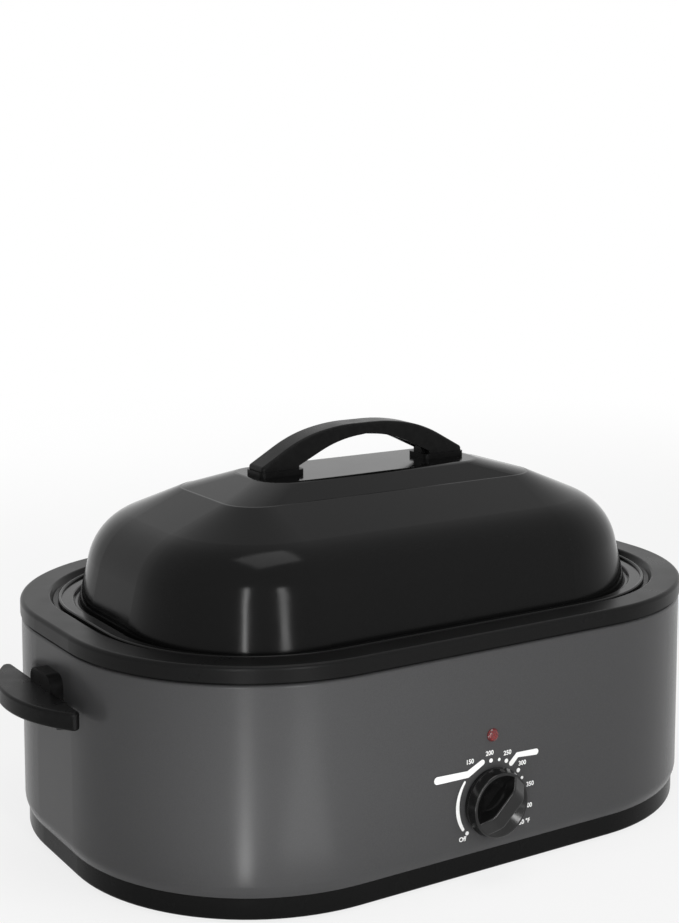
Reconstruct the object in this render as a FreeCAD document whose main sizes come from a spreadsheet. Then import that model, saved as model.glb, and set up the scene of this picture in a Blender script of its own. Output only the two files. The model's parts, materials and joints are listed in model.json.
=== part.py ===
import FreeCAD, Part
import math
import os
import re

import Sketcher

# Electric roaster oven. All sizes are in millimetres.
# The origin is on the table under the centre of the body. +X runs to the right along
# the body, -Y is the front with the control knob, and +Z is up.
# "Inset" always means the distance inside the outline of the metal band, seen from above.

SIZES = {
    # How far pieces of one solid run into each other, and how far a hole runs past its end
    "Overlap": 2.0,
    "HoleExtra": 1.0,
    # Outline of the body, seen from above
    "BodyLength": 530.0,
    "BodyWidth": 368.0,
    "BodyCorner": 152.0,
    # Base tray, its feet and its screws
    "FootHeight": 2.0,
    "FootRadius": 11.0,
    "FootPinRadius": 3.0,
    "FootPinHeight": 5.0,
    "FootPlaceLong": 180.0,
    "FootPlaceWide": 106.0,
    "TrayInset": 3.0,
    "TrayHeight": 16.0,
    "TrayWall": 1.5,
    "TrayBend": 2.5,
    "TrayFloorRun": 20.0,
    "VentLength": 46.0,
    "VentWidth": 4.0,
    "VentPitch": 14.0,
    "ScrewRadius": 2.0,
    "ScrewHeadRadius": 4.0,
    "ScrewHeadHeight": 1.6,
    "ScrewReach": 20.0,
    "PostRadius": 5.0,
    "PostHeight": 22.5,
    "PostPlaceLong": 108.0,
    "PostPlaceWide": 62.0,
    # Metal band round the body
    "BandHeight": 150.0,
    "BandWall": 1.0,
    "BandFoot": 8.0,
    "BandFootBend": 1.2,
    "BandTuck": 2.7,
    "BandTuckHeight": 6.5,
    "BandTuckBend": 14.0,
    "BandTopBend": 2.2,
    "BandFlange": 9.0,
    # Black rim on top of the band
    "RimHeight": 12.0,
    "RimInset": 3.4,
    "RimFlare": 1.4,
    "RimFlareHeight": 3.2,
    "RimFlareEdge": 0.6,
    "RimWidth": 17.1,
    "RimWall": 2.4,
    "RimLipWidth": 3.0,
    "RimLipHeight": 4.0,
    "RimEdge": 1.6,
    # Cooking well, of enamelled steel
    "LinerWall": 1.0,
    "LinerFlange": 9.0,
    "LinerSetback": 0.3,
    "LinerDrop": 3.4,
    "LinerLedge": 14.2,
    "LinerLedgeFall": 3.1,
    "LinerTopBend": 1.6,
    "LinerMouthBend": 3.0,
    "LinerFloorBend": 18.0,
    "LinerFloorRun": 12.0,
    # Reflector under the well
    "ReflectorWall": 0.6,
    "ReflectorInset": 10.0,
    "ReflectorRise": 10.5,
    "ReflectorBend": 2.0,
    "ReflectorRun": 10.0,
    # Heating rods and insulation round the well
    "RodRadius": 3.25,
    "RodGap": 0.35,
    "RodEndOut": 12.0,
    "RodEndSpread": 20.0,
    "RodEndBend": 8.0,
    "LowerRodHeight": 45.0,
    "UpperRodHeight": 100.0,
    "BlanketThick": 16.0,
    "BlanketGap": 0.3,
    "BlanketBottom": 34.0,
    "BlanketTopGap": 8.0,
    "WindowBottom": 30.0,
    "WindowTop": 118.0,
    "FrontWindowHalf": 46.0,
    "RearWindowLeft": 34.0,
    "RearWindowRight": 128.0,
    # Removable pan
    "SeatGap": 0.3,
    "PanWall": 1.2,
    "PanOverhang": 1.0,
    "PanLipDrop": 11.5,
    "PanRimGap": 1.0,
    "PanLedgeRun": 3.0,
    "PanLedgeDrop": 5.0,
    "PanSideGap": 2.9,
    "PanDraft": 4.5,
    "PanFloorGap": 8.2,
    "PanLipBend": 3.0,
    "PanRimBend": 2.0,
    "PanLedgeBend": 1.6,
    "PanMouthBend": 2.5,
    "PanBottomBend": 27.0,
    "PanFloorRun": 4.0,
    # Roasting rack
    "RailRadius": 1.4,
    "WireRadius": 1.2,
    "WeldGap": 0.05,
    "RackLength": 356.0,
    "RackWidth": 208.0,
    "RackFootGap": 0.4,
    "RackSideDrop": 12.5,
    "RackShoulder": 21.0,
    "RackSlope": 51.0,
    "RackCornerBend": 10.0,
    "RackSideBend": 8.0,
    "RackWirePitch": 36.7,
    "RackWireTip": 4.0,
    "CradleHalf": 11.0,
    "CradleDepth": 9.5,
    "CradleBend": 3.0,
    "CrossbarInboard": 12.0,
    "CrossbarHalf": 88.0,
    "BailRadius": 1.3,
    "BailGap": 0.3,
    "BailHook": 255.0,
    "BailPlace": 78.0,
    "BailShoulder": 44.0,
    "BailShoulderRise": 7.0,
    "BailReach": 124.0,
    "BailTipHalf": 37.0,
    "BailTipRise": 3.5,
    "BailBend": 8.0,
    # Lid
    "LidWall": 0.9,
    "LidEdgeGap": 3.5,
    "LidBead": 1.5,
    "LidGrooveGap": 1.3,
    "LidGrooveDepth": 3.5,
    "LidGrooveRun": 1.8,
    "LidGrooveWidth": 2.3,
    "LidGrooveBend": 1.3,
    "LidGrooveInnerBend": 1.1,
    "LidShoulderRun": 14.2,
    "LidShoulderHeight": 57.4,
    "LidShoulderBend": 50.0,
    "LidCreaseRun": 66.2,
    "LidCreaseHeight": 85.5,
    "LidCreaseBend": 3.0,
    "LidLedge": 5.0,
    "CrownStep": 1.0,
    "CrownLip": 1.5,
    "CrownMargin": 7.0,
    "CrownHalfWidth": 37.0,
    "CrownCorner": 24.0,
    "LidCrownHeight": 96.5,
    "LidCrownBend": 10.0,
    # Lid handle
    "GripLength": 190.0,
    "GripWidth": 23.0,
    "GripEndHeight": 3.5,
    "GripEndBend": 3.0,
    "GripShoulderHalf": 58.0,
    "GripShoulderHeight": 24.5,
    "GripShoulderBend": 110.0,
    "GripCrownHalf": 25.0,
    "GripCrownHeight": 31.5,
    "GripCrownBend": 150.0,
    "GripEdge": 2.5,
    "GripFoot": 32.5,
    "GripStep": 2.5,
    "GripArchHalf": 26.0,
    "GripArchHeight": 20.0,
    "GripArchBend": 100.0,
    "GripArchTop": 22.5,
    "GripRoof": 5.0,
    "GripChannel": 14.0,
    "CollarHeight": 4.0,
    "CollarMargin": 1.5,
    "CollarInner": 5.0,
    "CollarBend": 4.0,
    "FinGap": 0.5,
    "FinThick": 3.5,
    "FinHalf": 5.5,
    "FinSide": 3.5,
    "FinHeight": 8.0,
    "FinRoot": 1.0,
    "LidScrewReach": 12.0,
    "WasherRadius": 7.0,
    "WasherThick": 0.8,
    # Side handles
    "HandleGap": 7.0,
    "HandleReach": 36.5,
    "HandleArc": 108.0,
    "HandleThick": 13.0,
    "HandleDrop": 44.0,
    "HandleEnd": 4.0,
    "HandleEdge": 2.0,
    "MountWidth": 38.0,
    "MountHeight": 25.0,
    "MountRound": 9.0,
    "MountInto": 3.0,
    "NubRadius": 4.0,
    "NubHeight": 1.5,
    "NubPlace": 51.0,
    "PlateThick": 1.5,
    "PlateWidth": 44.0,
    "PlateHeight": 20.0,
    "PlateBend": 2.0,
    "HandleScrewRise": 12.5,
    "HandleScrewSpread": 22.0,
    "HandleScrewRadius": 2.4,
    "HandleScrewReach": 8.0,
    "HandleScrewHead": 2.5,
    "HandleScrewHeadRadius": 4.3,
    # Control knob and thermostat on the front
    "DialPlace": -3.0,
    "DialHeight": 56.0,
    "KnobRadius": 25.5,
    "KnobGap": 0.8,
    "KnobRimHeight": 4.5,
    "KnobDraft": 1.0,
    "KnobRimBend": 1.2,
    "KnobShoulder": 23.8,
    "KnobShoulderHeight": 12.5,
    "KnobShoulderBend": 1.2,
    "KnobLand": 1.8,
    "KnobLandBend": 0.5,
    "KnobDish": 14.0,
    "KnobDishHeight": 7.5,
    "KnobDishBend": 8.0,
    "KnobHeight": 21.0,
    "KnobGripWidth": 13.0,
    "KnobGripHalf": 12.5,
    "KnobGripBend": 9.0,
    "KnobGripEdge": 1.5,
    "KnobRecess": 11.0,
    "KnobRecessDepth": 3.0,
    "KnobOffAngle": 132.5,
    "ShaftRadius": 3.0,
    "ShaftInside": 14.0,
    "ShaftOutside": 16.0,
    "RunningGap": 0.05,
    "BushingRadius": 4.75,
    "BushingOut": 2.6,
    "HoleGap": 0.2,
    "NutFlats": 14.0,
    "NutHeight": 2.2,
    "ThermostatWidth": 44.0,
    "ThermostatHeight": 36.0,
    "ThermostatDepth": 21.0,
    # Pilot light above the knob
    "LampRise": 49.0,
    "LensRadius": 4.8,
    "LensStem": 3.7,
    "LensStemDepth": 3.0,
    "LensFlange": 0.8,
    "LensDome": 2.0,
    "LensDomeEdge": 1.2,
    "LensDomeBend": 2.0,
    "LampRadius": 6.0,
    "LampDepth": 16.0,
    # Wiring at the rear
    "GlandPlace": 92.0,
    "GlandHeight": 46.0,
    "GlandFlange": 11.0,
    "GlandFlangeThick": 3.0,
    "GlandNeck": 8.0,
    "GlandNose": 7.0,
    "GlandReach": 16.0,
    "GlandBore": 4.0,
    "GlandMouth": 5.5,
    "GlandMouthEnd": 0.5,
    "GlandInner": 10.0,
    "GlandInnerThick": 2.0,
    "GlandShoulder": 1.0,
    "GlandBend": 1.0,
    "BlockPlace": 58.0,
    "BlockHeight": 56.0,
    "BlockWidth": 34.0,
    "BlockTall": 18.0,
    "BlockDepth": 16.0,
    "BlockBend": 1.0,
    "LeadRadius": 1.5,
    "LeadInset": 6.0,
    "LeadHeight": 55.0,
    "FuseRadius": 2.5,
    "FuseLength": 16.0,
    "FusePlace": 98.0,
    "FuseHeight": 84.0,
}

# How many pieces or holes a row has
VENTS_EACH_SIDE = 4
RACK_WIRES = 5

# Sizes worked out from those above, as expressions of the sheet's cells
HALF_LENGTH = "(BodyLength / 2)"
HALF_WIDTH = "(BodyWidth / 2)"
TRAY_TOP = "(FootHeight + TrayHeight)"
TRAY_FLOOR = "(FootHeight + TrayWall)"
BAND_TOP = f"({TRAY_TOP} + BandHeight)"
RIM_TOP = f"({BAND_TOP} + RimHeight)"
RIM_INNER = "(RimInset + RimWidth)"
WELL_INSET = f"({RIM_INNER} + LinerSetback + LinerLedge)"
WELL_OUTSIDE = f"({WELL_INSET} - LinerWall)"
WELL_FLOOR = f"({TRAY_FLOOR} + PostHeight + LinerWall)"
BLANKET_TOP = f"({BAND_TOP} - BlanketTopGap)"
HANDLE_HEIGHT = f"({BAND_TOP} - HandleDrop)"
ROD_INSET = f"({WELL_OUTSIDE} - RodGap - RodRadius)"
BLANKET_INNER = f"({ROD_INSET} - RodRadius - BlanketGap)"
PAN_TOP = f"({RIM_TOP} + SeatGap + PanWall)"
PAN_RIM_INNER = f"({RIM_INNER} + PanRimGap)"
PAN_LEDGE_INSET = f"({PAN_RIM_INNER} + PanLedgeRun)"
PAN_MOUTH = f"({WELL_INSET} + PanSideGap + PanWall)"
PAN_FOOT = f"({PAN_MOUTH} + PanDraft)"
PAN_FLOOR = f"({WELL_FLOOR} + PanFloorGap + PanWall)"
LID_SEAT = f"({PAN_TOP} - PanLedgeDrop + SeatGap)"
LID_EDGE = f"({PAN_LEDGE_INSET} + LidEdgeGap)"
LID_GROOVE = f"({PAN_MOUTH} + LidWall + LidGrooveGap)"
LID_FOOT = f"({LID_GROOVE} + LidGrooveWidth)"
LID_SHOULDER = f"({LID_FOOT} + LidShoulderRun)"
LID_CREASE = f"({LID_SHOULDER} + LidCreaseRun)"
CROWN_INSET = f"({LID_CREASE} + CrownStep)"
CROWN_TOP = f"({LID_SEAT} + LidWall + LidCrownHeight)"
RACK_FOOT = f"({PAN_FOOT} + PanBottomBend + RackFootGap)"
RACK_HEIGHT = f"({PAN_FLOOR} + SeatGap + RailRadius + RackSideDrop)"
DIAL_LAMP = "(DialHeight + LampRise)"

X_AXIS = FreeCAD.Vector(1, 0, 0)
Y_AXIS = FreeCAD.Vector(0, 1, 0)
Z_AXIS = FreeCAD.Vector(0, 0, 1)
UPRIGHT = FreeCAD.Rotation()
HALF_TURN = FreeCAD.Rotation(Z_AXIS, 180)
TO_FRONT = FreeCAD.Rotation(X_AXIS, 90)
TO_REAR = FreeCAD.Rotation(X_AXIS, -90)

doc = FreeCAD.newDocument("RoasterOven")
sheet = doc.addObject("Spreadsheet::Sheet", "Sizes")
for row, (name, size) in enumerate(SIZES.items(), start=1):
    sheet.set(f"A{row}", name)
    sheet.set(f"B{row}", str(size))
    sheet.setAlias(f"B{row}", name)
doc.recompute()

parts = []


# ---------------------------------------------------------------------------
# Expressions, bodies and sketches

def linked(expression):
    """Turn the names in an expression into references to the sheet."""
    return re.sub(r"\b[A-Z][A-Za-z]+", lambda word: "Sizes." + word.group(0), str(expression))


def value(expression):
    """The present value of an expression."""
    return float(sheet.evalExpression(linked(expression)))


def place(item, x="0", y="0", z="0", turn=UPRIGHT):
    """Put a sub-part's own origin at x, y, z, bound to the sheet."""
    item.Placement = FreeCAD.Placement(FreeCAD.Vector(), turn)
    for axis, where in zip("xyz", (x, y, z)):
        item.setExpression("Placement.Base." + axis, linked(where))


def new_body(label, x="0", y="0", z="0", turn=UPRIGHT):
    """An empty body with its own name and place."""
    body = doc.addObject("PartDesign::Body", label)
    body.Label = label
    place(body, x, y, z, turn)
    parts.append(body)
    return body


def new_sketch(body, role, offset="0"):
    """A sketch on one of the body's own origin planes, or parallel to it."""
    sketch = body.newObject("Sketcher::SketchObject", "Sketch")
    plane = next(item for item in body.Origin.OriginFeatures if item.Role == role)
    sketch.AttachmentSupport = [(plane, "")]
    sketch.MapMode = "FlatFace"
    sketch.setExpression("AttachmentOffset.Base.z", linked(offset))
    return sketch


def bind(sketch, constraints, sizes):
    """Add constraints, and bind those listed in sizes (index, expression) to the sheet."""
    first = sketch.ConstraintCount
    sketch.addConstraint(constraints)
    for index, expression in sizes:
        name = f"Size{first + index}"
        sketch.renameConstraint(first + index, name)
        sketch.setExpression("Constraints." + name, linked(expression))


def add_circle(sketch, x, y, radius):
    """A circle whose centre and radius are bound to the sheet."""
    centre = FreeCAD.Vector(value(x), value(y), 0)
    index = sketch.addGeometry(Part.Circle(centre, Z_AXIS, value(radius)), False)
    constraints = [
        Sketcher.Constraint("DistanceX", -1, 1, index, 3, centre.x),
        Sketcher.Constraint("DistanceY", -1, 1, index, 3, centre.y),
        Sketcher.Constraint("Radius", index, value(radius)),
    ]
    bind(sketch, constraints, [(0, x), (1, y), (2, radius)])


class Turn:
    """The arc that rounds one corner of a chain of lines."""

    def __init__(self, before, corner, after, radius):
        back = (before - corner).normalize()
        ahead = (after - corner).normalize()
        half = back.getAngle(ahead) / 2
        middle = (back + ahead).normalize()
        self.radius = radius
        self.centre = corner + middle * (radius / math.sin(half))
        self.start = corner + back * (radius / math.tan(half))
        self.end = corner + ahead * (radius / math.tan(half))
        self.left = back.cross(ahead).z < 0

    def scaled(self, radius):
        """The same turn with another radius about the same centre."""
        other = object.__new__(Turn)
        other.radius = radius
        other.centre = self.centre
        other.left = self.left
        other.start = self.centre + (self.start - self.centre) * (radius / self.radius)
        other.end = self.centre + (self.end - self.centre) * (radius / self.radius)
        return other

    def arc(self):
        """The arc as sketch geometry, which always runs anticlockwise."""
        first, last = (self.start, self.end) if self.left else (self.end, self.start)
        angles = [math.atan2(p.y - self.centre.y, p.x - self.centre.x) for p in (first, last)]
        if angles[1] < angles[0]:
            angles[1] += 2 * math.pi
        circle = Part.Circle(self.centre, Z_AXIS, self.radius)
        return Part.ArcOfCircle(circle, angles[0], angles[1])

    def ends(self):
        """The sketch's names, 1 or 2, of the ends where the chain enters and leaves."""
        return (1, 2) if self.left else (2, 1)


def corner_points(corners):
    return [FreeCAD.Vector(value(corner[0]), value(corner[1]), 0) for corner in corners]


def turns_of(corners, points):
    """The turns at those corners that state a bend, by corner number."""
    count = len(corners)
    turns = {}
    for index, corner in enumerate(corners):
        if len(corner) == 3:
            around = points[index - 1], points[index], points[(index + 1) % count]
            turns[index] = Turn(*around, value(corner[2]))
    return turns


def add_chain(sketch, corners, closed=True):
    """Lines through the corners, each (x, y) or (x, y, bend), all bound to the sheet.

    Returns the sketch's numbers of the lines and arcs, and the turns.
    """
    points = corner_points(corners)
    turns = turns_of(corners, points)
    count = len(corners)
    line_count = count if closed else count - 1
    base = sketch.GeometryCount
    shapes = []
    for index in range(line_count):
        following = (index + 1) % count
        start = turns[index].end if index in turns else points[index]
        end = turns[following].start if following in turns else points[following]
        shapes.append(Part.LineSegment(start, end))
    lines = {index: base + index for index in range(line_count)}
    arcs = {index: base + line_count + order for order, index in enumerate(turns)}
    marks = {index: base + line_count + len(turns) + order for order, index in enumerate(turns)}
    shapes += [turns[index].arc() for index in arcs]
    shapes += [Part.Point(points[index]) for index in marks]
    sketch.addGeometry(shapes, False)
    for mark in marks.values():
        sketch.setConstruction(mark, True)

    constraints = []
    sizes = []
    for index in range(count):
        before = lines.get((index - 1) % count) if closed or index else None
        after = lines.get(index)
        if index in turns:
            enters, leaves = turns[index].ends()
            constraints += [
                Sketcher.Constraint("Tangent", before, 2, arcs[index], enters),
                Sketcher.Constraint("Tangent", arcs[index], leaves, after, 1),
                Sketcher.Constraint("PointOnObject", marks[index], 1, before),
                Sketcher.Constraint("PointOnObject", marks[index], 1, after),
                Sketcher.Constraint("Radius", arcs[index], turns[index].radius),
            ]
            sizes.append((len(constraints) - 1, corners[index][2]))
            held = (marks[index], 1)
        elif before is not None and after is not None:
            constraints.append(Sketcher.Constraint("Coincident", before, 2, after, 1))
            held = (after, 1)
        else:
            held = (after, 1) if after is not None else (before, 2)
        for kind, where, size in zip(("DistanceX", "DistanceY"), corners[index], points[index]):
            sizes.append((len(constraints), where))
            constraints.append(Sketcher.Constraint(kind, -1, 1, *held, size))
    bind(sketch, constraints, sizes)
    return lines, arcs, turns


def add_sheet(sketch, corners, wall):
    """The section of a bent sheet: one face through the corners, the other to its left.

    Every corner but the first and last states its bend.
    """
    lines, arcs, turns = add_chain(sketch, corners, closed=False)
    thickness = value(wall)
    backs = {}
    radii = {}
    for index, turn in turns.items():
        sign = "-" if turn.left else "+"
        radii[index] = f"{corners[index][2]} {sign} {wall}"
        backs[index] = turn.scaled(value(radii[index]))
    points = corner_points(corners)
    last = len(corners) - 1
    starts = {index: backs[index].end for index in backs}
    ends = {index: backs[index].start for index in backs}
    starts[0] = points[0] + left_of(points[0], points[1]) * thickness
    ends[last] = points[last] + left_of(points[last - 1], points[last]) * thickness
    base = sketch.GeometryCount
    shapes = [Part.LineSegment(starts[index], ends[index + 1]) for index in range(last)]
    shapes += [backs[index].arc() for index in backs]
    shapes.append(Part.LineSegment(points[0], starts[0]))
    shapes.append(Part.LineSegment(points[last], ends[last]))
    sketch.addGeometry(shapes, False)
    back_lines = {index: base + index for index in range(last)}
    back_arcs = {index: base + last + order for order, index in enumerate(backs)}
    first_cap = base + last + len(backs)
    last_cap = first_cap + 1

    constraints = []
    sizes = []
    for index, turn in backs.items():
        enters, leaves = turn.ends()
        constraints += [
            Sketcher.Constraint("Tangent", back_lines[index - 1], 2, back_arcs[index], enters),
            Sketcher.Constraint("Tangent", back_arcs[index], leaves, back_lines[index], 1),
            Sketcher.Constraint("Coincident", arcs[index], 3, back_arcs[index], 3),
            Sketcher.Constraint("Radius", back_arcs[index], turn.radius),
        ]
        sizes.append((len(constraints) - 1, radii[index]))
    for cap, line, back, end in (
        (first_cap, lines[0], back_lines[0], 1),
        (last_cap, lines[last - 1], back_lines[last - 1], 2),
    ):
        constraints += [
            Sketcher.Constraint("Coincident", cap, 1, line, end),
            Sketcher.Constraint("Coincident", cap, 2, back, end),
            Sketcher.Constraint("Perpendicular", cap, line),
            Sketcher.Constraint("Parallel", line, back),
        ]
    bind(sketch, constraints, sizes)


def left_of(start, end):
    """The unit vector to the left of the way from start to end."""
    way = (end - start).normalize()
    return FreeCAD.Vector(-way.y, way.x, 0)


def outline(inset):
    """The body's outline at an inset, starting on the +X side."""
    x = f"({HALF_LENGTH} - ({inset}))"
    y = f"({HALF_WIDTH} - ({inset}))"
    bend = f"(BodyCorner - ({inset}))"
    return [(x, "0"), (x, y, bend), (f"-{x}", y, bend), (f"-{x}", f"-{y}", bend), (x, f"-{y}", bend)]


def rectangle(half_x, half_y, bend=None, x="0", y="0"):
    """The corners of a rectangle about x, y."""
    corners = []
    for side, up in (("+", "+"), ("-", "+"), ("-", "-"), ("+", "-")):
        corner = (f"{x} {side} ({half_x})", f"{y} {up} ({half_y})")
        corners.append(corner + (bend,) if bend else corner)
    return corners


# ---------------------------------------------------------------------------
# Features

def pad(body, sketch, length, reverse=False, both=False):
    feature = body.newObject("PartDesign::Pad", "Pad")
    feature.Profile = sketch
    feature.setExpression("Length", linked(length))
    feature.Reversed = reverse
    feature.SideType = "Symmetric" if both else "One side"
    return feature


def cut(body, sketch, length, reverse=False, both=False):
    """A pocket that must remove something."""
    doc.recompute()
    before = body.Shape.Volume
    feature = body.newObject("PartDesign::Pocket", "Pocket")
    feature.Profile = sketch
    feature.setExpression("Length", linked(length))
    feature.Reversed = reverse
    feature.SideType = "Symmetric" if both else "One side"
    doc.recompute()
    if body.Shape.Volume > before - 0.01:
        raise RuntimeError(f"a pocket of {body.Label} removes nothing")
    return feature


def revolve(body, sketch):
    """A full turn about the sketch's vertical axis."""
    feature = body.newObject("PartDesign::Revolution", "Revolution")
    feature.Profile = sketch
    feature.ReferenceAxis = (sketch, ["V_Axis"])
    feature.Angle = 360
    return feature


def pipe(body, section, path):
    feature = body.newObject("PartDesign::AdditivePipe", "Pipe")
    feature.Profile = section
    feature.Spine = (path, [""])
    return feature


def loft(body, kind, sketches):
    """A straight-sided solid, added or removed, from the first sketch to the second."""
    feature = body.newObject(kind, "Loft")
    feature.Profile = sketches[0]
    feature.Sections = [sketches[1]]
    feature.Ruled = True
    return feature


def fillet(body, radius, wanted):
    """Round the edges of the body for which wanted(edge) is true."""
    doc.recompute()
    edges = enumerate(body.Tip.Shape.Edges, start=1)
    names = [f"Edge{number}" for number, edge in edges if wanted(edge)]
    last = body.Tip
    feature = body.newObject("PartDesign::Fillet", "Fillet")
    feature.Base = (last, names)
    feature.setExpression("Radius", linked(radius))
    return feature


def ring_path(body, inset):
    path = new_sketch(body, "XY_Plane")
    add_chain(path, outline(inset))
    return path


def at_side(corners):
    """Corners given as (inset, height, ...) on the section plane at the +X side."""
    return [(f"{HALF_LENGTH} - ({corner[0]})",) + corner[1:] for corner in corners]


def ring(body, corners, path_inset):
    """A solid ring: a closed section carried round the body."""
    section = new_sketch(body, "XZ_Plane")
    add_chain(section, at_side(corners))
    pipe(body, section, ring_path(body, path_inset))


def sheet_ring(body, corners, wall, path_inset):
    """A ring of bent sheet carried round the body."""
    section = new_sketch(body, "XZ_Plane")
    add_sheet(section, at_side(corners), wall)
    pipe(body, section, ring_path(body, path_inset))


def floor(body, inset, wall, top):
    """A flat sheet inside the outline at an inset, with its top at the height given."""
    sketch = new_sketch(body, "XY_Plane", top)
    add_chain(sketch, outline(inset))
    pad(body, sketch, wall, reverse=True)


def turned(body, corners):
    """A round piece: corners are (radius, height) from the axis, both ends on the axis."""
    sketch = new_sketch(body, "XZ_Plane")
    add_chain(sketch, corners)
    revolve(body, sketch)


def mirrored(corners):
    """The same corners on the other side, in the opposite order."""
    return [(f"-({corner[0]})",) + corner[1:] for corner in reversed(corners)]


def both_halves(corners):
    return corners + mirrored(corners)


def four_places(along, across):
    return [(f"{i}{along}", f"{j}{across}") for i in ("", "-") for j in ("", "-")]


# ---------------------------------------------------------------------------
# Base

def make_tray():
    body = new_body("base_tray", z="FootHeight")
    run = "(TrayInset + TrayBend + TrayFloorRun)"
    corners = [(run, "0"), ("TrayInset", "0", "TrayBend"), ("TrayInset", "TrayHeight")]
    sheet_ring(body, corners, "TrayWall", "TrayInset")
    floor(body, f"{run} - Overlap", "TrayWall", "TrayWall")
    holes = new_sketch(body, "XY_Plane")
    for x, y in four_places("FootPlaceLong", "FootPlaceWide"):
        add_circle(holes, x, y, "FootPinRadius + HoleGap")
    for x, y in four_places("PostPlaceLong", "PostPlaceWide"):
        add_circle(holes, x, y, "ScrewRadius + HoleGap")
    for step in range(-VENTS_EACH_SIDE, VENTS_EACH_SIDE + 1):
        middle = f"{step} * VentPitch"
        slot = rectangle("VentLength / 2", "VentWidth / 2", "VentWidth / 2 - HoleGap", y=middle)
        add_chain(holes, slot)
    cut(body, holes, "TrayWall * 2", both=True)


def make_feet():
    names = ("foot_rear_right", "foot_front_right", "foot_rear_left", "foot_front_left")
    for name, (x, y) in zip(names, four_places("FootPlaceLong", "FootPlaceWide")):
        body = new_body(name, x, y)
        top = "FootHeight + FootPinHeight"
        turned(body, [
            ("0", "0"), ("FootRadius", "0"), ("FootRadius", "FootHeight"),
            ("FootPinRadius", "FootHeight"), ("FootPinRadius", top), ("0", top),
        ])


def make_posts():
    """Tubes between the tray and the well, and the screws that hold the tray to them."""
    posts = new_body("well_posts", z=TRAY_FLOOR)
    screws = new_body("base_screws", z="FootHeight")
    tubes = new_sketch(posts, "XY_Plane")
    heads = new_sketch(screws, "XY_Plane")
    shanks = new_sketch(screws, "XY_Plane")
    for x, y in four_places("PostPlaceLong", "PostPlaceWide"):
        add_circle(tubes, x, y, "PostRadius")
        add_circle(tubes, x, y, "ScrewRadius + RunningGap")
        add_circle(heads, x, y, "ScrewHeadRadius")
        add_circle(shanks, x, y, "ScrewRadius")
    pad(posts, tubes, "PostHeight")
    pad(screws, heads, "ScrewHeadHeight", reverse=True)
    pad(screws, shanks, "ScrewReach")


def make_reflector():
    body = new_body("heat_reflector", z=TRAY_FLOOR)
    run = "(ReflectorInset + ReflectorBend + ReflectorRun)"
    corners = [("ReflectorInset", "0"), ("ReflectorInset", "ReflectorRise", "ReflectorBend"),
               (run, "ReflectorRise")]
    sheet_ring(body, corners, "ReflectorWall", "ReflectorInset")
    floor(body, f"{run} - Overlap", "ReflectorWall", "ReflectorRise")
    holes = new_sketch(body, "XY_Plane", "ReflectorRise")
    for x, y in four_places("PostPlaceLong", "PostPlaceWide"):
        add_circle(holes, x, y, "PostRadius + HoleGap")
    cut(body, holes, "ReflectorWall * 4", both=True)


def make_band():
    body = new_body("outer_band", z=TRAY_TOP)
    corners = [
        ("BandTuck + BandFoot", "0"), ("BandTuck", "0", "BandFootBend"),
        ("0", "BandTuckHeight", "BandTuckBend"),
        ("0", "BandHeight", "BandTopBend"), ("BandFlange", "BandHeight"),
    ]
    sheet_ring(body, corners, "BandWall", "0")
    front = new_sketch(body, "XZ_Plane")
    add_circle(front, "DialPlace", f"DialHeight - {TRAY_TOP}", "BushingRadius + HoleGap")
    add_circle(front, "DialPlace", f"{DIAL_LAMP} - {TRAY_TOP}", "LensStem + HoleGap")
    cut(body, front, "BodyWidth", reverse=True)
    rear = new_sketch(body, "XZ_Plane")
    add_circle(rear, "GlandPlace", f"GlandHeight - {TRAY_TOP}", "GlandNeck + HoleGap")
    cut(body, rear, "BodyWidth")
    ends = new_sketch(body, "YZ_Plane")
    for side in ("", "-"):
        height = f"{HANDLE_HEIGHT} + HandleScrewRise - {TRAY_TOP}"
        add_circle(ends, f"{side}HandleScrewSpread / 2", height, "HandleScrewRadius + HoleGap")
    cut(body, ends, "BodyLength * 2", both=True)


def make_rim():
    body = new_body("top_rim", z=BAND_TOP)
    outer = "(RimInset - RimFlare)"
    under = "(RimInset + RimWall)"
    inner = RIM_INNER
    lip = f"({RIM_INNER} - RimLipWidth)"
    ring(body, [
        (outer, "0"), (outer, "RimFlareEdge"), ("RimInset", "RimFlareHeight", "RimEdge"),
        ("RimInset", "RimHeight", "RimEdge"), (inner, "RimHeight", "RimEdge"),
        (inner, "RimHeight - RimLipHeight"), (lip, "RimHeight - RimLipHeight"),
        (lip, "RimHeight - RimWall"), (under, "RimHeight - RimWall"), (under, "0"),
    ], "RimInset")


def make_liner():
    """The cooking well hangs from a flange under the rim's lip."""
    top = f"({RIM_TOP} - RimLipHeight)"
    body = new_body("cooking_well", z=top)
    drop = f"({RIM_INNER} + LinerSetback)"
    fall = "(-LinerDrop - LinerLedgeFall)"
    depth = f"({WELL_FLOOR} - {top})"
    run = f"({WELL_INSET} + LinerFloorBend + LinerFloorRun)"
    corners = [
        (f"{drop} - LinerFlange", "0"), (drop, "0", "LinerTopBend"),
        (drop, "-LinerDrop", "LinerTopBend"), (WELL_INSET, fall, "LinerMouthBend"),
        (WELL_INSET, depth, "LinerFloorBend"), (run, depth),
    ]
    sheet_ring(body, corners, "LinerWall", WELL_INSET)
    floor(body, f"{run} - Overlap", "LinerWall", depth)


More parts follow.
